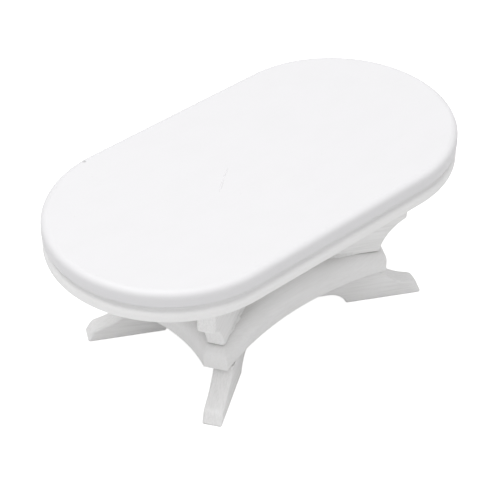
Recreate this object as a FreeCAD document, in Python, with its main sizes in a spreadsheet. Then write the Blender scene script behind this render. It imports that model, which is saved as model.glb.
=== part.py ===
"""Miniature pedestal dining table in painted wood, dolls'-house scale 1:12.

A racetrack-shaped top made of two glued boards stands on two half-lapped bracket rails.
The bracket rails stand on a concave-sided shelf, and the shelf on two half-lapped foot rails.
Round wooden dowels hold the layers together.

Millimetres, +Z up, long axis along X, origin on the ground under the middle of the top.
"""
import FreeCAD, Part
import math
import os
import Sketcher

DRIVING_SIZES = [
    # alias, value, meaning
    ("table_height", 61.8, "ground to table surface"),
    ("top_length", 152.4, "length of the top, 6 ft at 1:12"),
    ("top_width", 81.2, "width of the top, also the diameter of its round ends"),
    ("top_thick", 7.6, "upper board of the top"),
    ("top_round", 2.4, "round-over along the upper edge of the top"),
    ("cove_drop", 5.0, "table surface to the upper lip of the cove"),
    ("cove_depth", 2.0, "how far the cove cuts into the edge"),
    ("cove_radius", 3.0, "radius of the cove"),
    ("cove_flat", 0.4, "straight part of the cove above the bead"),
    ("bead_thick", 3.8, "beaded board under the top"),
    ("bead_inset", 0.1, "how far the bead stands back from the edge of the top"),
    ("bead_upper_round", 1.7, "upper rounding of the bead"),
    ("bead_lower_round", 0.8, "lower rounding of the bead"),
    ("foot_splay", 31.5, "angle of each foot rail to the long axis of the feet"),
    ("foot_turn", 2.4, "how far the feet sit turned under the top"),
    ("foot_thick", 6.5, "thickness of a foot rail"),
    ("foot_height", 12.5, "ground to the underside of the shelf"),
    ("foot_neck", 42.4, "centre to where the sweep of the foot starts"),
    ("foot_sweep", 20.0, "radius of the sweep down to the toe"),
    ("toe_shoulder", 55.7, "centre to the shoulder of the toe"),
    ("toe_height", 4.8, "height of the toe's shoulder"),
    ("toe_round", 3.6, "rounding of the toe's shoulder"),
    ("foot_reach", 58.4, "centre to the tip of the toe"),
    ("sole_round", 0.7, "rounding at both ends of the sole"),
    ("heel_reach", 31.5, "centre to the inner end of the sole"),
    ("arch_reach", 25.0, "centre to the end of the flat part of the arch"),
    ("arch_height", 4.5, "ground to the arch under a foot rail"),
    ("shelf_thick", 8.8, "thickness of the shelf"),
    ("shelf_splay", 30.1, "angle of each corner of the shelf to its long axis"),
    ("shelf_turn", 1.2, "how far the shelf sits turned under the top"),
    ("shelf_reach", 45.0, "centre to the cut-off corners of the shelf"),
    ("shelf_corner", 8.0, "width of a cut-off corner"),
    ("shelf_side_radius", 110.0, "radius of the concave long sides"),
    ("shelf_end_radius", 50.0, "radius of the concave short sides"),
    ("shelf_round", 4.5, "rounding of the upper edge of the shelf"),
    ("shelf_soft_edge", 0.5, "painted lower edge and upright edges of the shelf"),
    ("bracket_splay", 29.7, "angle of each bracket rail to the long axis of the brackets"),
    ("bracket_turn", 0.6, "how far the brackets sit turned under the top"),
    ("bracket_thick", 6.2, "thickness of a bracket rail"),
    ("bracket_reach", 51.6, "centre to the end of a bracket rail"),
    ("waist_reach", 42.6, "centre to the foot of a bracket rail"),
    ("hollow_radius", 20.0, "radius of the hollow end of a bracket rail"),
    ("nose_height", 12.0, "shelf to the underside of the bracket's nose"),
    ("nose_round", 1.2, "rounding under the bracket's nose"),
    ("foot_soft_edge", 0.7, "sanded and painted edges of a foot rail"),
    ("bracket_soft_edge", 1.1, "sanded and painted edges of a bracket rail"),
    ("dowel_diameter", 2.0, "all dowels"),
    ("dowel_bevel", 0.25, "bevel round the ends of a dowel"),
    ("dowel_bite", 4.0, "depth of a dowel in each of its two pieces"),
    ("foot_dowel_reach", 38.0, "centre to a dowel between a foot rail and the shelf"),
    ("shelf_dowel_reach", 32.0, "centre to a dowel between the shelf and a bracket rail"),
    ("top_dowel_reach", 45.0, "centre to a dowel between a bracket rail and the top"),
]

doc = FreeCAD.newDocument("miniature_dining_table")
sizes = doc.addObject("Spreadsheet::Sheet", "Sizes")
for row, (alias, number, meaning) in enumerate(DRIVING_SIZES, start=1):
    sizes.set(f"A{row}", alias)
    sizes.set(f"B{row}", str(number))
    sizes.set(f"C{row}", meaning)
    sizes.setAlias(f"B{row}", alias)
doc.recompute()

# Angles of the crossing rails, and heights of the layers, as expressions on the sheet
FEET = ("Sizes.foot_splay", "Sizes.foot_turn")
BRACKETS = ("Sizes.bracket_splay", "Sizes.bracket_turn")
SHELF_TOP = "Sizes.foot_height + Sizes.shelf_thick"
BEAD_TOP = "Sizes.table_height - Sizes.top_thick"
BEAD_BOTTOM = "Sizes.table_height - Sizes.top_thick - Sizes.bead_thick"
BRACKET_HEIGHT = f"({BEAD_BOTTOM} - ({SHELF_TOP}))"


def worked_out(expression):
    """The number that an expression on the sheet stands for."""
    return float(sizes.evalExpression(expression))


# ---------------------------------------------------------------- sketches

def new_body(label, height="0", turn="0"):
    """A body standing at a height and turned about the vertical axis."""
    body = doc.addObject("PartDesign::Body", label)
    body.Label = label
    vertical = FreeCAD.Vector(0, 0, 1)
    body.Placement.Rotation = FreeCAD.Rotation(vertical, worked_out(turn))
    body.setExpression("Placement.Base.z", height)
    return body


def new_sketch(body, name, plane, offset="0"):
    """A sketch on one of the body's own origin planes, moved along the plane's normal."""
    sketch = body.newObject("Sketcher::SketchObject", name)
    origin_plane = next(f for f in body.Origin.OriginFeatures if f.Role == plane)
    sketch.AttachmentSupport = [(origin_plane, "")]
    sketch.MapMode = "FlatFace"
    sketch.setExpression("AttachmentOffset.Base.z", offset)
    return sketch


def fix_point(sketch, curve, end, x, y):
    """Ties one end of a curve to a place given by two expressions."""
    for kind, axis, expression in (("DistanceX", -2, x), ("DistanceY", -1, y)):
        distance = worked_out(expression)
        if abs(distance) < 1e-9:
            sketch.addConstraint(Sketcher.Constraint("PointOnObject", curve, end, axis))
        else:
            place = sketch.addConstraint(Sketcher.Constraint(kind, -1, 1, curve, end, distance))
            sketch.setExpression(f"Constraints[{place}]", expression)


def draw_outline(sketch, corners, arcs=None):
    """A closed outline through corners given anticlockwise as pairs of expressions.

    arcs maps the number of a side to (radius expression, "out" or "in"): the side bulges
    out of the shape or is hollow.
    """
    arcs = arcs or {}
    points = [FreeCAD.Vector(worked_out(x), worked_out(y), 0) for x, y in corners]
    for side, (start, end) in enumerate(zip(points, points[1:] + points[:1])):
        if side not in arcs:
            sketch.addGeometry(Part.LineSegment(start, end))
            continue
        radius, bulge = arcs[side]
        reach = worked_out(radius)
        chord = end - start
        to_left = FreeCAD.Vector(-chord.y, chord.x, 0).normalize()
        rise = math.sqrt(reach ** 2 - (chord.Length / 2) ** 2)
        centre = (start + end) / 2 + to_left * (rise if bulge == "out" else -rise)
        first, last = (start, end) if bulge == "out" else (end, start)
        angles = [math.atan2(p.y - centre.y, p.x - centre.x) for p in (first, last)]
        circle = Part.Circle(centre, FreeCAD.Vector(0, 0, 1), reach)
        sketch.addGeometry(Part.ArcOfCircle(circle, *angles))

    def start_of(side):
        return 2 if side in arcs and arcs[side][1] == "in" else 1

    for side, (x, y) in enumerate(corners):
        before = (side - 1) % len(corners)
        end_of_before = 3 - start_of(before)
        sketch.addConstraint(
            Sketcher.Constraint("Coincident", before, end_of_before, side, start_of(side)))
        fix_point(sketch, side, start_of(side), x, y)
        if side in arcs:
            radius = arcs[side][0]
            round_ = sketch.addConstraint(Sketcher.Constraint("Radius", side, worked_out(radius)))
            sketch.setExpression(f"Constraints[{round_}]", radius)


def draw_racetrack(sketch, inset="0"):
    """Two straight sides and two half-circle ends, set in from the edge of the top."""
    radius = f"Sizes.top_width / 2 - {inset}"
    straight = "Sizes.top_length - Sizes.top_width"
    half, reach = worked_out(straight) / 2, worked_out(radius)
    up = FreeCAD.Vector(0, 0, 1)
    corner = {(i, j): FreeCAD.Vector(i * half, j * reach, 0) for i in (-1, 1) for j in (-1, 1)}
    right = Part.Circle(FreeCAD.Vector(half, 0, 0), up, reach)
    left = Part.Circle(FreeCAD.Vector(-half, 0, 0), up, reach)
    near = sketch.addGeometry(Part.LineSegment(corner[-1, -1], corner[1, -1]))
    right_end = sketch.addGeometry(Part.ArcOfCircle(right, -math.pi / 2, math.pi / 2))
    far = sketch.addGeometry(Part.LineSegment(corner[1, 1], corner[-1, 1]))
    left_end = sketch.addGeometry(Part.ArcOfCircle(left, math.pi / 2, 3 * math.pi / 2))
    chain = [near, right_end, far, left_end]
    for one, following in zip(chain, chain[1:] + chain[:1]):
        sketch.addConstraint(Sketcher.Constraint("Tangent", one, 2, following, 1))
    sketch.addConstraint(Sketcher.Constraint("Symmetric", left_end, 3, right_end, 3, -1, 1))
    sketch.addConstraint(Sketcher.Constraint("PointOnObject", right_end, 3, -1))
    sketch.addConstraint(Sketcher.Constraint("Equal", left_end, right_end))
    size = sketch.addConstraint(Sketcher.Constraint("Radius", right_end, reach))
    sketch.setExpression(f"Constraints[{size}]", radius)
    size = sketch.addConstraint(
        Sketcher.Constraint("DistanceX", left_end, 3, right_end, 3, 2 * half))
    sketch.setExpression(f"Constraints[{size}]", straight)


def draw_circles(sketch, centres, diameter):
    """Circles of one diameter at centres given as pairs of expressions."""
    for x, y in centres:
        middle = FreeCAD.Vector(worked_out(x), worked_out(y), 0)
        circle = Part.Circle(middle, FreeCAD.Vector(0, 0, 1), worked_out(diameter) / 2)
        curve = sketch.addGeometry(circle)
        fix_point(sketch, curve, 3, x, y)
        size = sketch.addConstraint(Sketcher.Constraint("Diameter", curve, worked_out(diameter)))
        sketch.setExpression(f"Constraints[{size}]", diameter)


# ---------------------------------------------------------------- features

def pad(body, sketch, name, length, symmetric=False):
    feature = body.newObject("PartDesign::Pad", name)
    feature.Profile = sketch
    feature.SideType = "Symmetric" if symmetric else "One side"
    feature.setExpression("Length", length)
    doc.recompute()
    return feature


def pocket(body, sketch, name, depth, upwards=False):
    """Cuts a sketch drawn on a level plane down into the body, or up into it."""
    before = body.Shape.Volume
    feature = body.newObject("PartDesign::Pocket", name)
    feature.Profile = sketch
    feature.Reversed = upwards
    feature.setExpression("Length", depth)
    doc.recompute()
    if body.Shape.Volume > before - 1e-3:
        raise RuntimeError(f"{body.Label}: {name} cuts nothing")
    return feature


def soften(body, name, radius, wanted):
    """Rounds the edges of the body's tip that the test wanted(edge) picks."""
    tip = body.Tip
    before = tip.Shape.Volume
    picked = [f"Edge{i}" for i, edge in enumerate(tip.Shape.Edges, start=1) if wanted(edge)]
    feature = body.newObject("PartDesign::Fillet", name)
    feature.Base = (tip, picked)
    feature.setExpression("Radius", radius)
    doc.recompute()
    if abs(body.Shape.Volume / before - 1) > 0.1 or body.Shape.Volume == before:
        raise RuntimeError(f"{body.Label}: {name} failed on {len(picked)} edges")
    return feature


def level_at(edge, height):
    """True for an edge that lies flat at a height in its body's own frame."""
    box = edge.BoundBox
    return abs(box.ZMin - height) < 1e-4 and abs(box.ZMax - height) < 1e-4


def on_rail_side(edge, thickness):
    """True for an edge that lies in one of the two broad faces of a rail."""
    box = edge.BoundBox
    return box.YLength < 1e-4 and abs(abs(box.YMax) - thickness / 2) < 1e-4


def across_rail(edge, reach, height):
    """True for an edge across a rail's thickness at a distance and height, at either end."""
    middle, box = edge.CenterOfMass, edge.BoundBox
    return (box.XLength < 1e-4 and box.ZLength < 1e-4
            and abs(abs(middle.x) - reach) < 1e-4 and abs(middle.z - height) < 1e-4)


def tangent_radius(run, rise):
    """Radius of an arc that leaves along its rise and covers a run and a rise."""
    return f"((({run}) ^ 2 + ({rise}) ^ 2) / (2 * ({run})))"


# ---------------------------------------------------------------- the top

def rail_places(reach, splay, turn="0"):
    """The four places on two crossing rails at one distance from the centre."""
    places = []
    for direction in (f"({turn} + {splay})", f"({turn} - {splay})"):
        for end in (1, -1):
            x = f"{end} * {reach} * cos({direction})"
            y = f"{end} * {reach} * sin({direction})"
            places.append((x, y))
    return places


def make_table_top():
    """Upper board: rounded upper edge, and a cove cut under the lip."""
    body = new_body("table_top", BEAD_TOP)
    plan = new_sketch(body, "top_plan", "XY_Plane")
    draw_racetrack(plan)
    pad(body, plan, "top_board", "Sizes.top_thick")
    surface = worked_out("Sizes.top_thick")
    soften(body, "top_round_over", "Sizes.top_round", lambda edge: level_at(edge, surface))

    cutter = new_sketch(body, "cove_section", "YZ_Plane",
                        "-(Sizes.top_length - Sizes.top_width) / 2")
    edge_y = "-Sizes.top_width / 2"
    deepest = f"{edge_y} + Sizes.cove_depth"
    clear_of_edge = f"{edge_y} - Sizes.cove_depth"
    clear_below = "-Sizes.cove_flat"
    lip = "Sizes.top_thick - Sizes.cove_drop"
    draw_outline(cutter, [
        (clear_of_edge, clear_below),
        (deepest, clear_below),
        (deepest, "Sizes.cove_flat"),
        (edge_y, lip),
        (clear_of_edge, lip),
    ], arcs={2: ("Sizes.cove_radius", "out")})
    cove = body.newObject("PartDesign::SubtractivePipe", "cove")
    cove.Profile = cutter
    cove.Spine = (plan, [])
    doc.recompute()

    holes = new_sketch(body, "top_dowel_holes", "XY_Plane")
    draw_circles(holes, rail_places("Sizes.top_dowel_reach", *BRACKETS), "Sizes.dowel_diameter")
    pocket(body, holes, "top_dowel_pockets", "Sizes.dowel_bite", upwards=True)
    return body


def make_beaded_sub_top():
    """Lower board: a half-round bead all round, drilled through for the dowels."""
    body = new_body("beaded_sub_top", BEAD_BOTTOM)
    plan = new_sketch(body, "bead_plan", "XY_Plane")
    draw_racetrack(plan, "Sizes.bead_inset")
    pad(body, plan, "bead_board", "Sizes.bead_thick")
    upper = worked_out("Sizes.bead_thick")
    soften(body, "bead_upper_rounding", "Sizes.bead_upper_round",
           lambda edge: level_at(edge, upper))
    soften(body, "bead_lower_rounding", "Sizes.bead_lower_round",
           lambda edge: level_at(edge, 0))
    holes = new_sketch(body, "sub_top_dowel_holes", "XY_Plane")
    draw_circles(holes, rail_places("Sizes.top_dowel_reach", *BRACKETS), "Sizes.dowel_diameter")
    pocket(body, holes, "sub_top_dowel_pockets", "Sizes.bead_thick", upwards=True)
    return body


# ---------------------------------------------------------------- the rails

def mirrored(half, arcs):
    """The whole outline of a rail from its right half, given from bottom to top."""
    left = [(f"-({x})", z) for x, z in reversed(half)]
    last_side = 2 * len(half) - 2
    both_arcs = dict(arcs)
    both_arcs.update({last_side - side: arc for side, arc in arcs.items()})
    return half + left, both_arcs


def rail_turn(splay, turn, over):
    """The rail that laps over runs right and away, the one under it right and near."""
    return f"{turn} + {splay}" if over else f"{turn} - {splay}"


def cut_half_lap(body, name, splay, thickness, lowest, highest, over):
    """A slot the width of the crossing rail, from the middle height up, or down if over."""
    turn = f"(-2 * {splay})" if over else f"(2 * {splay})"
    middle = f"(({lowest} + {highest}) / 2)"
    slot = new_sketch(body, f"{name}_plan", "XY_Plane", middle)
    half, length = f"({thickness} / 2)", f"({thickness} * 2)"
    corners = []
    for i, j in ((-1, -1), (1, -1), (1, 1), (-1, 1)):
        x = f"{i} * {length} * cos({turn}) - {j} * {half} * sin({turn})"
        y = f"{i} * {length} * sin({turn}) + {j} * {half} * cos({turn})"
        corners.append((x, y))
    draw_outline(slot, corners)
    pocket(body, slot, name, f"{highest} - {middle}", upwards=not over)


def drill_rail(body, name, reach, height, upwards):
    """Two blind dowel holes in a rail, one near each end."""
    holes = new_sketch(body, f"{name}_plan", "XY_Plane", height)
    draw_circles(holes, [(reach, "0"), (f"-{reach}", "0")], "Sizes.dowel_diameter")
    pocket(body, holes, name, "Sizes.dowel_bite", upwards)


def make_foot_rail(label, over):
    """One board from toe to toe, arched underneath, its ends swept down to blunt toes."""
    body = new_body(label, turn=rail_turn(*FEET, over))
    side = new_sketch(body, f"{label}_side", "XZ_Plane")
    arch = tangent_radius("Sizes.arch_height", "Sizes.heel_reach - Sizes.arch_reach")
    draw_outline(side, *mirrored([
        ("Sizes.arch_reach", "Sizes.arch_height"),
        ("Sizes.heel_reach", "0"),
        ("Sizes.foot_reach", "0"),
        ("Sizes.toe_shoulder", "Sizes.toe_height"),
        ("Sizes.foot_neck", "Sizes.foot_height"),
    ], {
        0: (arch, "in"),
        3: ("Sizes.foot_sweep", "in"),
    }))
    pad(body, side, f"{label}_board", "Sizes.foot_thick", symmetric=True)
    shoulder, toe_height = worked_out("Sizes.toe_shoulder"), worked_out("Sizes.toe_height")
    soften(body, f"{label}_toe_rounding", "Sizes.toe_round",
           lambda edge: across_rail(edge, shoulder, toe_height))
    sole_ends = worked_out("Sizes.foot_reach"), worked_out("Sizes.heel_reach")
    soften(body, f"{label}_sole_rounding", "Sizes.sole_round",
           lambda edge: any(across_rail(edge, reach, 0) for reach in sole_ends))
    thickness, top = worked_out("Sizes.foot_thick"), worked_out("Sizes.foot_height")
    soften(body, f"{label}_soft_edges", "Sizes.foot_soft_edge",
           lambda edge: on_rail_side(edge, thickness) and not level_at(edge, top))
    cut_half_lap(body, f"{label}_half_lap", "Sizes.foot_splay", "Sizes.foot_thick",
                 "Sizes.arch_height", "Sizes.foot_height", over)
    drill_rail(body, f"{label}_dowel_holes", "Sizes.foot_dowel_reach",
               "Sizes.foot_height", upwards=False)
    return body


def make_bracket_rail(label, over):
    """One upright board under the top, its ends hollowed from the nose down to the waist."""
    body = new_body(label, SHELF_TOP, rail_turn(*BRACKETS, over))
    side = new_sketch(body, f"{label}_side", "XZ_Plane")
    draw_outline(side, *mirrored([
        ("Sizes.waist_reach", "0"),
        ("Sizes.bracket_reach", "Sizes.nose_height"),
        ("Sizes.bracket_reach", BRACKET_HEIGHT),
    ], {
        0: ("Sizes.hollow_radius", "in"),
    }))
    pad(body, side, f"{label}_board", "Sizes.bracket_thick", symmetric=True)
    reach, nose = worked_out("Sizes.bracket_reach"), worked_out("Sizes.nose_height")
    soften(body, f"{label}_nose_rounding", "Sizes.nose_round",
           lambda edge: across_rail(edge, reach, nose))
    thickness, top = worked_out("Sizes.bracket_thick"), worked_out(BRACKET_HEIGHT)
    soften(body, f"{label}_soft_edges", "Sizes.bracket_soft_edge",
           lambda edge: on_rail_side(edge, thickness)
           and not level_at(edge, 0) and not level_at(edge, top))
    cut_half_lap(body, f"{label}_half_lap", "Sizes.bracket_splay", "Sizes.bracket_thick",
                 "0", BRACKET_HEIGHT, over)
    drill_rail(body, f"{label}_lower_dowel_holes", "Sizes.shelf_dowel_reach", "0", upwards=True)
    drill_rail(body, f"{label}_upper_dowel_holes", "Sizes.top_dowel_reach",
               BRACKET_HEIGHT, upwards=False)
    return body


# ---------------------------------------------------------------- the shelf

def shelf_corner(i, j, towards_side):
    """An end of a cut-off corner: the one towards a long side, or towards a short end."""
    along, across = "Sizes.shelf_reach", "Sizes.shelf_corner / 2"
    cosine, sine = "cos(Sizes.shelf_splay)", "sin(Sizes.shelf_splay)"
    way = 1 if towards_side else -1
    x = f"{i} * ({along} * {cosine} - {way} * {across} * {sine})"
    y = f"{j} * ({along} * {sine} + {way} * {across} * {cosine})"
    return x, y


def is_upright(edge):
    """True for an edge that stands straight up."""
    box = edge.BoundBox
    return box.XLength < 1e-4 and box.YLength < 1e-4


def drill_shelf(body, name, reach, crossing, height, upwards):
    """Four blind dowel holes in the shelf, over or under two crossing rails."""
    splay, turn = crossing
    holes = new_sketch(body, f"{name}_plan", "XY_Plane", height)
    places = rail_places(reach, splay, f"({turn} - Sizes.shelf_turn)")
    draw_circles(holes, places, "Sizes.dowel_diameter")
    pocket(body, holes, name, "Sizes.dowel_bite", upwards)


def make_shelf():
    """Four hollow sides meeting in cut-off corners over the feet, rounded along the top."""
    body = new_body("stretcher_shelf", "Sizes.foot_height", "Sizes.shelf_turn")
    plan = new_sketch(body, "shelf_plan", "XY_Plane")
    draw_outline(plan, [
        shelf_corner(1, 1, False), shelf_corner(1, 1, True),
        shelf_corner(-1, 1, True), shelf_corner(-1, 1, False),
        shelf_corner(-1, -1, False), shelf_corner(-1, -1, True),
        shelf_corner(1, -1, True), shelf_corner(1, -1, False),
    ], {
        1: ("Sizes.shelf_side_radius", "in"),
        3: ("Sizes.shelf_end_radius", "in"),
        5: ("Sizes.shelf_side_radius", "in"),
        7: ("Sizes.shelf_end_radius", "in"),
    })
    pad(body, plan, "shelf_board", "Sizes.shelf_thick")
    top = worked_out("Sizes.shelf_thick")
    soften(body, "upright_edge_rounding", "Sizes.shelf_soft_edge", is_upright)
    soften(body, "shelf_rounding", "Sizes.shelf_round", lambda edge: level_at(edge, top))
    soften(body, "lower_edge_rounding", "Sizes.shelf_soft_edge", lambda edge: level_at(edge, 0))
    drill_shelf(body, "foot_dowel_holes", "Sizes.foot_dowel_reach", FEET, "0", upwards=True)
    drill_shelf(body, "bracket_dowel_holes", "Sizes.shelf_dowel_reach", BRACKETS,
                "Sizes.shelf_thick", upwards=False)
    return body


# ---------------------------------------------------------------- the dowels

def make_dowels(label, reach, crossing, bottom, length):
    """Four upright dowels with bevelled ends, one on each arm of two crossing rails."""
    splay, turn = crossing
    body = new_body(label, bottom, turn)
    body.AllowCompound = True
    ends = new_sketch(body, f"{label}_ends", "XY_Plane")
    draw_circles(ends, rail_places(reach, splay), "Sizes.dowel_diameter")
    pad(body, ends, f"{label}_rods", length)
    tip = body.Tip
    rims = [f"Edge{i}" for i, edge in enumerate(tip.Shape.Edges, start=1)
            if edge.BoundBox.ZLength < 1e-4]
    bevel = body.newObject("PartDesign::Chamfer", f"{label}_bevels")
    bevel.Base = (tip, rims)
    bevel.setExpression("Size", "Sizes.dowel_bevel")
    doc.recompute()
    return body


sub_parts = [
    make_table_top(),
    make_beaded_sub_top(),
    make_bracket_rail("bracket_rail_over", over=True),
    make_bracket_rail("bracket_rail_under", over=False),
    make_shelf(),
    make_foot_rail("foot_rail_over", over=True),
    make_foot_rail("foot_rail_under", over=False),
    make_dowels("foot_dowels", "Sizes.foot_dowel_reach", FEET,
                "Sizes.foot_height - Sizes.dowel_bite", "2 * Sizes.dowel_bite"),
    make_dowels("shelf_dowels", "Sizes.shelf_dowel_reach", BRACKETS,
                f"{SHELF_TOP} - Sizes.dowel_bite", "2 * Sizes.dowel_bite"),
    make_dowels("top_dowels", "Sizes.top_dowel_reach", BRACKETS,
                f"{BEAD_BOTTOM} - Sizes.dowel_bite", "2 * Sizes.dowel_bite + Sizes.bead_thick"),
]
doc.recompute()

for item in doc.Objects:
    if "Invalid" in item.State or "Error" in item.State:
        raise RuntimeError(f"{item.Label} failed: {item.State}")
os.makedirs("parts", exist_ok=True)
for body in sub_parts:
    shape = body.Shape
    if shape.isNull() or not shape.isValid() or not shape.Solids:
        raise RuntimeError(f"{body.Label} has no sound solid")
    shape.exportStep(f"parts/{body.Label}.step")
    print(body.Label, len(shape.Solids), "solid(s),", round(shape.Volume, 1), "mm3")
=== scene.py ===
"""Looks of the miniature dining table: satin white paint over wood, on a pale studio floor.

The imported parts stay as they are. Each gets a procedural painted-wood material, and thin beads of
paint and glue are laid along the joints between the boards.
"""
import math

import bmesh
import bpy
import numpy as np
from mathutils import Matrix, Vector, noise
from mathutils.bvhtree import BVHTree


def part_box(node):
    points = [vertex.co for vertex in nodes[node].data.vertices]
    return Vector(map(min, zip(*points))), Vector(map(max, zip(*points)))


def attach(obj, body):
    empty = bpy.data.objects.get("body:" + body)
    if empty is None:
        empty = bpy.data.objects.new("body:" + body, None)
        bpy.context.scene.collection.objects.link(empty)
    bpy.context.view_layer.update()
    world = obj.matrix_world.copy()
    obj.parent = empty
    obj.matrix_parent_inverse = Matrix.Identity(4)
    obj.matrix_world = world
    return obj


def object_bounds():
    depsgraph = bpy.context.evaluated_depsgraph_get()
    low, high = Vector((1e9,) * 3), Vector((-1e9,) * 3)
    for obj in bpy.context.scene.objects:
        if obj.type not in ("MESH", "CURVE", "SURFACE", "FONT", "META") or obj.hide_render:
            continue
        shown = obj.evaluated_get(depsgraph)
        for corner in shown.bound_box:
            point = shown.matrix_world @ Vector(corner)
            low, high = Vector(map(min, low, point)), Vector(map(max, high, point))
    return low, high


MM = 0.001
UP = Vector((0, 0, 1))
SAME_PLACE = 0.02 * MM      # two places closer than this count as one

# How bright each paint is, from 0 black to 1 white. The parts share one white paint; the top,
# bead, shelf and rail levels are set apart as painted light, so that the parts in shade under
# the top are painted lighter than the top.
TOP_LEVEL = 0.83
BEAD_LEVEL = 0.87
SHELF_LEVEL = 0.90
RAIL_LEVEL = 0.92
SEAM_LEVEL = 0.88
CHIP_LEVEL = 0.58
COOL = -0.012               # the tint of the paint on top, a little blue

# The corner fillets' sections, as shares of how far they reach out and how high they climb.
SEAM_SECTION = ((0.82, 0.10), (0.42, 0.36), (0.14, 0.78))
SEAM_PROBE = 2 * MM         # how far off the board the test for touching it starts
SEAM_TOUCH = 2.25 * MM      # how far that test looks

# The camera: angles in degrees, sensor and lens in millimetres, its distance in lengths of the
# table, and where it aims as shares of the table's length, width and height.
CAMERA_AZIMUTH, CAMERA_ELEVATION, CAMERA_ROLL = -42.4, 38.8, 0.17
SENSOR_WIDTH, LENS = 36, 134.4
CAMERA_DISTANCE = 3.925
CAMERA_AIM = (-0.084, -0.1415, 0.6545)

BRACKET_RAILS = ("bracket_rail_over", "bracket_rail_under")
FOOT_RAILS = ("foot_rail_over", "foot_rail_under")

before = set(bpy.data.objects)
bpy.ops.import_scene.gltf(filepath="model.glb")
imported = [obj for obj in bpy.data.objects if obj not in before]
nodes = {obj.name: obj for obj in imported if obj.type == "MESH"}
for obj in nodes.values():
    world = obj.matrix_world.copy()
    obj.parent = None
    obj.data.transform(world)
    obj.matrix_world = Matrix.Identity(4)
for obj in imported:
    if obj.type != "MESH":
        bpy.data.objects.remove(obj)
cad_low, cad_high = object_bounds()
length, width, height = cad_high - cad_low


# ---------------------------------------------------------------- material tools

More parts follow.
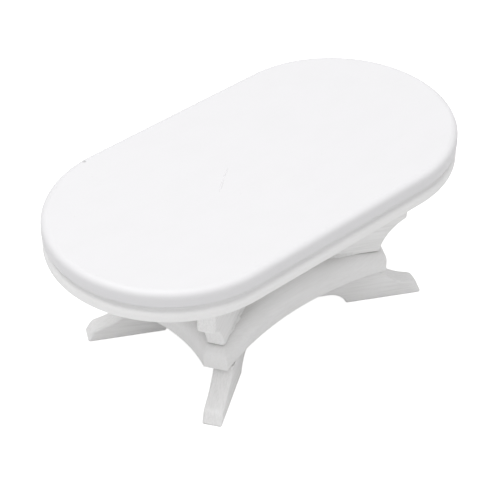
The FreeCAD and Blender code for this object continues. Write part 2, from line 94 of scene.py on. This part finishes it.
class Tree:
    """A material's node tree, with short ways to add and join nodes."""

    def __init__(self, name):
        self.material = bpy.data.materials.new(name)
        self.material.use_nodes = True
        self.nodes = self.material.node_tree.nodes
        self.links = self.material.node_tree.links
        self.surface = self.nodes["Principled BSDF"]

    def put(self, value, socket):
        """Joins a socket to another socket, or gives it a plain value."""
        if isinstance(value, bpy.types.NodeSocket):
            self.links.new(value, socket)
        else:
            socket.default_value = value

    def coordinates(self, stretch, turn=0.0):
        """Places on the object in millimetres, turned about Z and squeezed along each axis."""
        place = self.nodes.new("ShaderNodeTexCoord").outputs["Object"]
        turned = self.nodes.new("ShaderNodeMapping")
        turned.inputs["Rotation"].default_value = (0, 0, -turn)
        turned.inputs["Scale"].default_value = [1 / MM] * 3
        self.links.new(place, turned.inputs["Vector"])
        squeezed = self.nodes.new("ShaderNodeMapping")
        squeezed.inputs["Scale"].default_value = [1 / s for s in stretch]
        self.links.new(turned.outputs["Vector"], squeezed.inputs["Vector"])
        return squeezed.outputs["Vector"]

    def noise(self, place, detail=3.0, roughness=0.5, distortion=0.0):
        """Soft noise between 0 and 1 whose grains are about one unit of place wide."""
        node = self.nodes.new("ShaderNodeTexNoise")
        node.inputs["Scale"].default_value = 1.0
        node.inputs["Detail"].default_value = detail
        node.inputs["Roughness"].default_value = roughness
        node.inputs["Distortion"].default_value = distortion
        self.links.new(place, node.inputs["Vector"])
        return node.outputs["Fac"]

    def specks(self, place, radius, share):
        """Sparse round specks: 1 in the middle of a speck, 0 away from it."""
        cells = self.nodes.new("ShaderNodeTexVoronoi")
        cells.inputs["Scale"].default_value = 1.0
        self.links.new(place, cells.inputs["Vector"])
        spot = self.ramp(cells.outputs["Distance"], radius * 0.5, radius, 1.0, 0.0)
        pick = self.nodes.new("ShaderNodeSeparateColor")
        self.links.new(cells.outputs["Color"], pick.inputs["Color"])
        chosen = self.maths("LESS_THAN", pick.outputs["Red"], share)
        return self.maths("MULTIPLY", spot, chosen)

    def ramp(self, value, low, high, at_low, at_high):
        """Goes smoothly from at_low to at_high while value goes from low to high."""
        node = self.nodes.new("ShaderNodeMapRange")
        node.interpolation_type = "SMOOTHSTEP"
        for name, number in (("From Min", low), ("From Max", high),
                             ("To Min", at_low), ("To Max", at_high)):
            node.inputs[name].default_value = number
        self.put(value, node.inputs["Value"])
        return node.outputs["Result"]

    def maths(self, operation, one, two=0.0):
        """One sum on one or two values."""
        node = self.nodes.new("ShaderNodeMath")
        node.operation = operation
        self.put(one, node.inputs[0])
        self.put(two, node.inputs[1])
        return node.outputs[0]

    def mix(self, share, one, two):
        """A colour between two colours."""
        node = self.nodes.new("ShaderNodeMix")
        node.data_type = "RGBA"
        self.put(share, node.inputs["Factor"])
        self.put(one, node.inputs["A"])
        self.put(two, node.inputs["B"])
        return node.outputs["Result"]

    def edge(self, radius):
        """1 along sharp and rounded edges, 0 on open faces."""
        bevel = self.nodes.new("ShaderNodeBevel")
        bevel.samples = 8
        bevel.inputs["Radius"].default_value = radius
        flat = self.nodes.new("ShaderNodeNewGeometry")
        turned = self.nodes.new("ShaderNodeVectorMath")
        turned.operation = "DOT_PRODUCT"
        self.links.new(bevel.outputs["Normal"], turned.inputs[0])
        self.links.new(flat.outputs["Normal"], turned.inputs[1])
        return self.ramp(turned.outputs["Value"], 0.75, 0.99, 1.0, 0.0)

    def hollow(self, reach):
        """1 deep in corners and gaps, 0 in the open."""
        shade = self.nodes.new("ShaderNodeAmbientOcclusion")
        shade.samples = 8
        shade.inputs["Distance"].default_value = reach
        return self.ramp(shade.outputs["AO"], 0.25, 0.9, 1.0, 0.0)

    def uprightness(self):
        """1 on upright faces, 0 on level ones."""
        parts = self.nodes.new("ShaderNodeSeparateXYZ")
        facing = self.nodes.new("ShaderNodeNewGeometry").outputs["Normal"]
        self.links.new(facing, parts.inputs["Vector"])
        return self.ramp(self.maths("ABSOLUTE", parts.outputs["Z"]), 0.2, 0.85, 1.0, 0.0)

    def near(self, place, radius):
        """1 round one place on the object, 0 away from it."""
        gap = self.nodes.new("ShaderNodeVectorMath")
        gap.operation = "DISTANCE"
        here = self.nodes.new("ShaderNodeTexCoord").outputs["Object"]
        self.links.new(here, gap.inputs[0])
        gap.inputs[1].default_value = place
        return self.ramp(gap.outputs["Value"], radius * 0.4, radius, 1.0, 0.0)

    def bump(self, height, depth, strength, before=None):
        """A surface direction roughened by a height, on top of the direction before it."""
        node = self.nodes.new("ShaderNodeBump")
        node.inputs["Distance"].default_value = depth
        node.inputs["Strength"].default_value = strength
        self.links.new(height, node.inputs["Height"])
        if before is not None:
            self.links.new(before, node.inputs["Normal"])
        return node.outputs["Normal"]


def grey(level, warm=0.0):
    """A near-neutral colour; warm above 0 is a little yellow, below 0 a little blue."""
    return (level, level * (1 - 0.2 * abs(warm)), level * (1 - warm), 1)


# ---------------------------------------------------------------- materials

def painted_wood(name, level, turn=0.0, brushed=1.0, wear_and_painted_light=1.0, rough=0.42, tint=0.004,
                 upright=1.0, deep_painted_shade=0.0):
    """Satin white paint: brush marks along the grain, orange peel, dust specks and blotchy tone,
    painted shade in corners and a painted highlight along the edges.

    upright is how bright the paint on upright faces is beside that on level ones, a painted
    shade on the sides, and the deep-shade factor is how much painted shade greys the paint
    deep between the boards, where little light reaches.
    """
    tree = Tree(name)
    cloudy = tree.noise(tree.coordinates((14, 9, 9), turn), detail=4)
    streaks = tree.noise(tree.coordinates((16, 0.4, 0.9), turn), detail=5, roughness=0.65)
    blotches = tree.noise(tree.coordinates((2.6, 1.8, 1.8), turn), detail=5, roughness=0.6)
    peel = tree.noise(tree.coordinates((0.55, 0.4, 0.4), turn), detail=2)
    grain = tree.noise(tree.coordinates((9, 0.8, 0.8), turn), detail=6, roughness=0.7,
                       distortion=0.6)
    dust = tree.specks(tree.coordinates((2.4, 2.4, 2.4)), 0.06, 0.22)

    base = grey(level, tint)
    shade = tree.ramp(cloudy, 0.35, 0.7, 0.0, 0.12 + 0.5 * wear_and_painted_light)
    colour = tree.mix(shade, base, grey(level * 0.955, tint + 0.006))
    shade = tree.ramp(streaks, 0.35, 0.72, 0.0, 0.85 * brushed)
    colour = tree.mix(shade, colour, grey(level * 0.88, tint + 0.006))
    shade = tree.ramp(grain, 0.52, 0.72, 0.0, 0.45 * brushed)
    colour = tree.mix(shade, colour, grey(level * 0.84, tint + 0.012))
    shade = tree.ramp(blotches, 0.56, 0.8, 0.0, 0.5 * wear_and_painted_light)
    colour = tree.mix(shade, colour, grey(level * 0.94, 0.02))
    # painted shade: the colour darkens and warms in corners and creases, where less light falls
    colour = tree.mix(tree.maths("MULTIPLY", tree.hollow(2.2 * MM), 0.5 * wear_and_painted_light),
                      colour, grey(level * 0.66, 0.03))
    # painted shade: darker and a little warm deep between the boards, where little light reaches
    if deep_painted_shade:
        shade = tree.maths("MULTIPLY", tree.hollow(16 * MM), deep_painted_shade)
        colour = tree.mix(shade, colour, grey(level * 0.45, 0.06))
    # painted shade: upright faces are painted darker than level ones
    if upright < 1:
        colour = tree.mix(tree.uprightness(), colour, grey(level * upright, tint))
    colour = tree.mix(tree.maths("MULTIPLY", dust, 0.45), colour, grey(level * 0.62, 0.06))
    # painted highlight: lighter along the edges, in patches
    edge_highlight = tree.maths("MULTIPLY", tree.edge(0.45 * MM), tree.ramp(blotches, 0.3, 0.6, 0.3, 1.0))
    colour = tree.mix(tree.maths("MULTIPLY", edge_highlight, 0.6 * wear_and_painted_light), colour,
                      grey(min(level * 1.06, 0.94)))
    tree.links.new(colour, tree.surface.inputs["Base Color"])

    shine = tree.ramp(blotches, 0.3, 0.75, rough - 0.06, rough + 0.1)
    shine = tree.maths("ADD", shine, tree.ramp(streaks, 0.3, 0.7, -0.03, 0.05))
    tree.links.new(shine, tree.surface.inputs["Roughness"])
    tree.surface.inputs["Specular IOR Level"].default_value = 0.42

    normal = tree.bump(peel, 0.02 * MM, 0.25)
    normal = tree.bump(streaks, 0.03 * MM, 0.3 * brushed, normal)
    normal = tree.bump(grain, 0.05 * MM, 0.25 * brushed, normal)
    normal = tree.bump(cloudy, 0.12 * MM, 0.4, normal)
    normal = tree.bump(dust, 0.03 * MM, 0.5, normal)
    tree.links.new(normal, tree.surface.inputs["Normal"])
    return tree


def bare_birch(name):
    """Pale unpainted dowel wood with fine upright grain."""
    tree = Tree(name)
    grain = tree.noise(tree.coordinates((0.25, 0.25, 5)), detail=5, roughness=0.7)
    colour = tree.mix(tree.ramp(grain, 0.3, 0.7, 0.0, 1.0), grey(0.6, 0.42), grey(0.44, 0.5))
    tree.links.new(colour, tree.surface.inputs["Base Color"])
    tree.links.new(tree.ramp(grain, 0.3, 0.7, 0.55, 0.75), tree.surface.inputs["Roughness"])
    tree.links.new(tree.bump(grain, 0.05 * MM, 0.4), tree.surface.inputs["Normal"])
    return tree


def surface_of(node):
    """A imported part's surface, ready to be hit by rays."""
    mesh = nodes[node].data
    mesh.calc_loop_triangles()
    return BVHTree.FromPolygons([v.co for v in mesh.vertices],
                                [t.vertices for t in mesh.loop_triangles])


def long_direction(node):
    """The angle in plan of a board's long direction, from its own vertices."""
    places = np.array([v.co[:2] for v in nodes[node].data.vertices])
    spread = np.cov((places - places.mean(0)).T)
    longest = np.linalg.eigh(spread)[1][:, -1]
    return math.atan2(longest[1], longest[0])


def wear_material(node, tree):
    """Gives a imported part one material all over."""
    mesh = nodes[node].data
    mesh.materials.clear()
    mesh.materials.append(tree.material)


def chip_paint(tree, place, radius):
    """Knocks a small dent into a paint, a little greyer than the paint round it."""
    socket = tree.surface.inputs["Base Color"]
    colour = socket.links[0].from_socket
    chip = tree.near(place, radius)
    tree.links.new(tree.mix(chip, colour, grey(CHIP_LEVEL, COOL)), socket)
    normal = tree.surface.inputs["Normal"]
    dent = tree.bump(tree.maths("SUBTRACT", 1.0, chip), 0.1 * MM, 0.5, normal.links[0].from_socket)
    tree.links.new(dent, normal)


# the top's upright sides get painted shade, a little darker than its level face
top_paint = painted_wood("paint_top", TOP_LEVEL, brushed=0.05, wear_and_painted_light=0.15, rough=0.36, tint=COOL,
                         upright=0.89)
above_chip = Vector((-0.26 * length, 0.470 * width, 2 * height))
chip = surface_of("table_top").ray_cast(above_chip, -UP)[0]
chip_paint(top_paint, chip, 0.85 * MM)
wear_material("table_top", top_paint)
bead_paint = painted_wood("paint_bead", BEAD_LEVEL, brushed=0.2, wear_and_painted_light=0.3)
wear_material("beaded_sub_top", bead_paint)
# the shelf gets strong painted shade deep under the top
shelf_paint = painted_wood("paint_shelf", SHELF_LEVEL, brushed=0.5, wear_and_painted_light=0.9, deep_painted_shade=0.55)
wear_material("stretcher_shelf", shelf_paint)
for rail in BRACKET_RAILS + FOOT_RAILS:
    # the rails get painted shade between the boards, more of it on the bracket rails
    deep_painted_shade = 0.2 if rail in BRACKET_RAILS else 0.05
    rail_paint = painted_wood(f"paint_{rail}", RAIL_LEVEL, long_direction(rail),
                              deep_painted_shade=deep_painted_shade)
    wear_material(rail, rail_paint)
birch = bare_birch("birch_dowel")
for group in ("foot_dowels", "shelf_dowels", "top_dowels"):
    wear_material(group, birch)


# ---------------------------------------------------------------- paint along the joints

class Arm:
    """Half of a rail, from the middle of the table to one end, at the level of a joint."""

    def __init__(self, direction, reach, half, corner):
        self.direction = direction
        self.reach = reach
        self.half = half
        self.corner = corner

    def place(self, along, across):
        """A place in plan from one along the arm and one to its left."""
        cosine, sine = math.cos(self.direction), math.sin(self.direction)
        return Vector((along * cosine - across * sine, along * sine + across * cosine, 0))

    def outline(self, start_right, start_left, step):
        """Places and outward directions round the arm, from its right side round its end."""
        places = []
        straight = self.reach - self.corner
        for way, start in ((-1, start_right), (1, start_left)):
            side = []
            count = max(2, round((straight - start) / step))
            for i in range(count + 1):
                along = start + (straight - start) * i / count
                side.append((self.place(along, way * self.half), self.place(0, way)))
            for i in range(1, 6):
                angle = math.radians(90 - 15 * i)
                along = straight + self.corner * math.cos(angle)
                across = self.half - self.corner + self.corner * math.sin(angle)
                outward = self.place(math.cos(angle), way * math.sin(angle))
                side.append((self.place(along, way * across), outward))
            places.append(side)
        end_half = self.half - self.corner
        count = max(2, round(2 * end_half / step))
        end = [(self.place(self.reach, -end_half + 2 * end_half * i / count), self.place(1, 0))
               for i in range(count + 1)]
        return places[0] + end + places[1][::-1]


def arms_of(rails, level):
    """The four arms of two crossing rails, sized from their own vertices at a level."""
    arms = []
    for rail in rails:
        direction = long_direction(rail)
        turn = Matrix.Rotation(-direction, 3, "Z")
        flat = [turn @ v.co for v in nodes[rail].data.vertices if abs(v.co.z - level) < SAME_PLACE]
        reach = max(abs(v.x) for v in flat)
        half = max(abs(v.y) for v in flat)
        corner = reach - max(abs(v.x) for v in flat if abs(v.y) > half - SAME_PLACE)
        arms += [Arm(direction + way, reach, half, corner) for way in (0, math.pi)]
    return sorted(arms, key=lambda arm: arm.direction % (2 * math.pi))


def clings(surface, place, rise):
    """True where the surface behind the joint plane is close enough for paint to reach it."""
    start = place + Vector((0, 0, SEAM_PROBE * rise))
    hit = surface.ray_cast(start, Vector((0, 0, -rise)), SEAM_TOUCH)
    return hit[0] is not None


def skin(mesh, sections, ring=False):
    """Faces from each section to the next; a ring closes on itself, else both ends are capped."""
    following = sections[1:] + (sections[:1] if ring else [])
    for one, two in zip(sections, following):
        for j in range(len(one)):
            k = (j + 1) % len(one)
            mesh.faces.new((one[j], one[k], two[k], two[j]))
    if not ring:
        mesh.faces.new(sections[0][::-1])
        mesh.faces.new(sections[-1])


def finish_piece(name, mesh, tree):
    """Turns a built mesh into a smooth-shaded piece of the table."""
    bmesh.ops.recalc_face_normals(mesh, faces=mesh.faces)
    data = bpy.data.meshes.new(name)
    mesh.to_mesh(data)
    mesh.free()
    data.shade_smooth()
    data.materials.append(tree.material)
    piece = bpy.data.objects.new(name, data)
    bpy.context.scene.collection.objects.link(piece)
    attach(piece, "root")
    return piece


def paint_seam(name, rails, board, level, rise, size, seed, tree):
    """An uneven bead of paint and glue in the corner between two rails and a board.

    rise is 1 where the rails stand on the board and -1 where they hang under it.
    """
    surface = surface_of(board)
    arms = arms_of(rails, level)
    step = 0.35 * MM
    sunk = 0.06 * MM
    thinnest = 0.08 * MM
    up = Vector((0, 0, rise))
    mesh = bmesh.new()
    for number, arm in enumerate(arms):
        following, before = arms[(number + 1) % 4], arms[number - 1]
        gap_left = (following.direction - arm.direction) % (2 * math.pi)
        gap_right = (arm.direction - before.direction) % (2 * math.pi)
        path = arm.outline(arm.half / math.tan(gap_right / 2), arm.half / math.tan(gap_left / 2),
                           step)
        sections = []
        for i, (place, outward) in enumerate(path):
            here = place / MM
            wave = noise.fractal(Vector((here.x * 0.22, here.y * 0.22, seed)), 1.0, 2.0, 4)
            lump = noise.noise(Vector((here.x * 1.1, here.y * 1.1, seed + 7)))
            reach = size * max(0.22, 0.75 + 0.8 * wave + 0.35 * lump)
            corner = Vector((place.x, place.y, level))
            while reach > thinnest and not clings(surface, corner + outward * reach, rise):
                reach *= 0.7
            from_end = min(i, len(path) - 1 - i) / len(path)
            reach *= min(1.0, 24 * from_end + 0.25)
            climb = reach * (0.85 + 0.5 * lump)
            profile = [corner - outward * sunk - up * sunk, corner + outward * reach - up * sunk]
            profile += [corner + outward * reach * out + up * climb * high
                        for out, high in SEAM_SECTION]
            profile.append(corner - outward * sunk + up * climb)
            sections.append([mesh.verts.new(point) for point in profile])
        skin(mesh, sections)
    return finish_piece(name, mesh, tree)


seam_paint = painted_wood("paint_seams", SEAM_LEVEL, brushed=0.3, wear_and_painted_light=0.8, rough=0.36)
shelf_low, shelf_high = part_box("stretcher_shelf")
sub_top_low, sub_top_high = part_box("beaded_sub_top")
seams = [
    paint_seam("paint_seam_shelf", BRACKET_RAILS, "stretcher_shelf", shelf_high.z, 1,
               0.85 * MM, 3, seam_paint),
    paint_seam("paint_seam_feet", FOOT_RAILS, "stretcher_shelf", shelf_low.z, -1,
               0.6 * MM, 11, seam_paint),
    paint_seam("paint_seam_top", BRACKET_RAILS, "beaded_sub_top", sub_top_low.z, -1,
               0.7 * MM, 19, seam_paint),
]


def racetrack(inset, step):
    """Places and outward directions round the edge of the top, set in from it."""
    middle = (length - width) / 2
    radius = width / 2 - inset
    places = []
    for way in (1, -1):
        count = round(2 * middle / step)
        for i in range(count):
            along = way * middle * (1 - 2 * i / count)
            places.append((Vector((along, way * radius, 0)), Vector((0, way, 0))))
        count = round(math.pi * radius / step)
        for i in range(count):
            angle = math.pi * (i / count + (0.5 if way == 1 else 1.5))
            outward = Vector((math.cos(angle), math.sin(angle), 0))
            places.append((outward * radius - Vector((way * middle, 0, 0)), outward))
    return places


def cove_depth():
    """How far the cove is cut into the edge of the top, just above the bead."""
    above_bead = 0.2 * MM
    outside = Vector((0, width, sub_top_high.z + above_bead))
    wall = surface_of("table_top").ray_cast(outside, Vector((0, -1, 0)))[0]
    return cad_high.y - wall.y


def paint_in_groove(name, tree):
    """Paint that has run into the corner between the cove and the bead, all the way round."""
    bead = surface_of("beaded_sub_top")
    step = 0.6 * MM
    sunk = 0.05 * MM
    mesh = bmesh.new()
    rings = []
    for place, outward in racetrack(cove_depth(), step):
        here = place / MM
        wave = noise.fractal(Vector((here.x * 0.15, here.y * 0.15, 5)), 1.0, 2.0, 3)
        reach = (1.15 + 0.25 * wave) * MM
        corner = Vector((place.x, place.y, sub_top_high.z))
        tip = bead.ray_cast(corner + outward * reach + UP * MM, -UP)[0]
        profile = [
            corner - outward * sunk - UP * sunk,
            tip - UP * sunk,
            tip + (corner - tip) * 0.4 + UP * reach * 0.06,
            tip + (corner - tip) * 0.72 + UP * reach * 0.26,
            corner + outward * reach * 0.05 + UP * reach * 0.62,
            corner - outward * sunk + UP * reach * 0.85,
        ]
        rings.append([mesh.verts.new(point) for point in profile])
    skin(mesh, rings, ring=True)
    return finish_piece(name, mesh, tree)


paint_in_groove("paint_in_groove", bead_paint)


def make_brush_hair(name, tree):
    """A short hair caught under the paint, a little left of the middle of the surface.

    Its spine is given as shares of the table's length and width; the paint thins out at one
    break along it.
    """
    spine = [(-0.051, 0.056), (-0.075, 0.027), (-0.100, -0.010), (-0.119, -0.037)]
    places = [Vector((x * length, y * width, cad_high.z)) for x, y in spine]
    half_wide, least_half, high = 0.34 * MM, 0.01 * MM, 0.10 * MM
    sunk = UP * -0.03 * MM
    count = 40
    near = 0.02
    break_at, break_half = 0.42, 0.04
    mesh = bmesh.new()
    sections = []
    for i in range(count + 1):
        share = i / count
        middle = spline_point(places, share)
        ahead = spline_point(places, min(1, share + near))
        behind = spline_point(places, max(0, share - near))
        across = (ahead - behind).cross(UP).normalized()
        broken = abs(share - break_at) < break_half
        swell = max(0.0, math.sin(math.pi * share)) ** 0.4 * (0.15 if broken else 1.0)
        half = half_wide * swell + least_half
        top = UP * high * swell
        profile = [
            middle - across * half + sunk,
            middle - across * half * 0.6 + top * 0.7,
            middle + top,
            middle + across * half * 0.6 + top * 0.7,
            middle + across * half + sunk,
        ]
        sections.append([mesh.verts.new(point) for point in profile])
    skin(mesh, sections)
    return finish_piece(name, mesh, tree)


def spline_point(places, share):
    """A point on a smooth curve through the places, share from 0 to 1."""
    place = share * (len(places) - 1)
    i = min(int(place), len(places) - 2)
    t = place - i
    before, start = places[max(i - 1, 0)], places[i]
    end, after = places[i + 1], places[min(i + 2, len(places) - 1)]
    return 0.5 * (2 * start + (end - before) * t
                  + (2 * before - 5 * start + 4 * end - after) * t ** 2
                  + (3 * start - before - 3 * end + after) * t ** 3)


hair_paint = painted_wood("paint_hair", TOP_LEVEL, brushed=0.0, wear_and_painted_light=0.0, rough=0.4, tint=COOL)
make_brush_hair("brush_hair_in_paint", hair_paint)


# ---------------------------------------------------------------- stage

def make_floor():
    """A wide pale sheet that the table stands on, white to the camera and clear from below."""
    mesh = bpy.data.meshes.new("floor")
    reach = 40 * length
    corners = [(-reach, -reach), (reach, -reach), (reach, reach), (-reach, reach)]
    mesh.from_pydata([(x, y, cad_low.z) for x, y in corners], [], [(0, 1, 2, 3)])
    floor = bpy.data.objects.new("floor", mesh)
    bpy.context.scene.collection.objects.link(floor)
    tree = Tree("pale_floor")
    paper = tree.noise(tree.coordinates((1.5, 1.5, 1.5)), detail=4)
    tree.links.new(tree.mix(paper, grey(0.78), grey(0.80)), tree.surface.inputs["Base Color"])
    tree.surface.inputs["Roughness"].default_value = 0.9
    tree.surface.inputs["Specular IOR Level"].default_value = 0.1
    tree.surface.inputs["Emission Color"].default_value = (1, 1, 1, 1)
    ray = tree.nodes.new("ShaderNodeLightPath")
    glow = tree.ramp(ray.outputs["Is Camera Ray"], 0, 1, 0.08, 0.75)
    tree.links.new(glow, tree.surface.inputs["Emission Strength"])
    clear = tree.nodes.new("ShaderNodeBsdfTransparent")
    sides = tree.nodes.new("ShaderNodeMixShader")
    below = tree.nodes.new("ShaderNodeNewGeometry").outputs["Backfacing"]
    tree.links.new(below, sides.inputs[0])
    tree.links.new(tree.surface.outputs["BSDF"], sides.inputs[1])
    tree.links.new(clear.outputs["BSDF"], sides.inputs[2])
    tree.links.new(sides.outputs["Shader"], tree.nodes["Material Output"].inputs["Surface"])
    mesh.materials.append(tree.material)


def make_lamp(name, azimuth, elevation, distance, size, power):
    """A square soft box that faces the middle of the table."""
    data = bpy.data.lights.new(name, "AREA")
    data.size = size
    data.energy = power
    lamp = bpy.data.objects.new(name, data)
    bpy.context.scene.collection.objects.link(lamp)
    towards = direction_from(azimuth, elevation)
    lamp.location = towards * distance
    lamp.rotation_mode = "QUATERNION"
    lamp.rotation_quaternion = towards.to_track_quat("Z", "Y")


def direction_from(azimuth, elevation):
    """Unit vector towards a place round the table; azimuth 0 is in front, in degrees."""
    a, e = math.radians(azimuth), math.radians(elevation)
    return Vector((math.sin(a) * math.cos(e), -math.cos(a) * math.cos(e), math.sin(e)))


def make_camera():
    """A long lens that looks down on the left front of the table."""
    data = bpy.data.cameras.new("camera")
    data.sensor_width = SENSOR_WIDTH
    data.lens = LENS
    data.clip_start, data.clip_end = 0.01, 100
    camera = bpy.data.objects.new("camera", data)
    bpy.context.scene.collection.objects.link(camera)
    back = direction_from(CAMERA_AZIMUTH, CAMERA_ELEVATION)
    aim = Vector([share * size for share, size in zip(CAMERA_AIM, (length, width, height))])
    camera.location = aim + back * CAMERA_DISTANCE * length
    camera.rotation_mode = "QUATERNION"
    roll = Matrix.Rotation(math.radians(CAMERA_ROLL), 4, "Z").to_quaternion()
    camera.rotation_quaternion = back.to_track_quat("Z", "Y") @ roll
    bpy.context.scene.camera = camera


def make_world():
    """A studio that is dim round the horizon and bright overhead, white to the camera."""
    world = bpy.data.worlds.new("studio")
    world.use_nodes = True
    tree = world.node_tree
    background = tree.nodes["Background"]
    place = tree.nodes.new("ShaderNodeTexCoord")
    parts = tree.nodes.new("ShaderNodeSeparateXYZ")
    tree.links.new(place.outputs["Generated"], parts.inputs["Vector"])
    level = tree.nodes.new("ShaderNodeMapRange")
    dim, bright = 0.32, 1.02
    for name, number in (("From Min", 0.0), ("From Max", 1.0), ("To Min", dim), ("To Max", bright)):
        level.inputs[name].default_value = number
    tree.links.new(parts.outputs["Z"], level.inputs["Value"])
    ray = tree.nodes.new("ShaderNodeLightPath")
    seen = tree.nodes.new("ShaderNodeMath")
    seen.operation = "MAXIMUM"
    tree.links.new(ray.outputs["Is Camera Ray"], seen.inputs[0])
    tree.links.new(level.outputs["Result"], seen.inputs[1])
    tree.links.new(seen.outputs["Value"], background.inputs["Strength"])
    background.inputs["Color"].default_value = (1, 0.994, 0.998, 1)
    bpy.context.scene.world = world


make_floor()
make_world()
make_camera()
make_lamp("key_softbox", azimuth=-105, elevation=78, distance=1.6, size=1.3, power=9.5)
make_lamp("front_softbox", azimuth=-45, elevation=22, distance=1.8, size=1.2, power=1.5)
bpy.context.scene.view_settings.view_transform = "Standard"
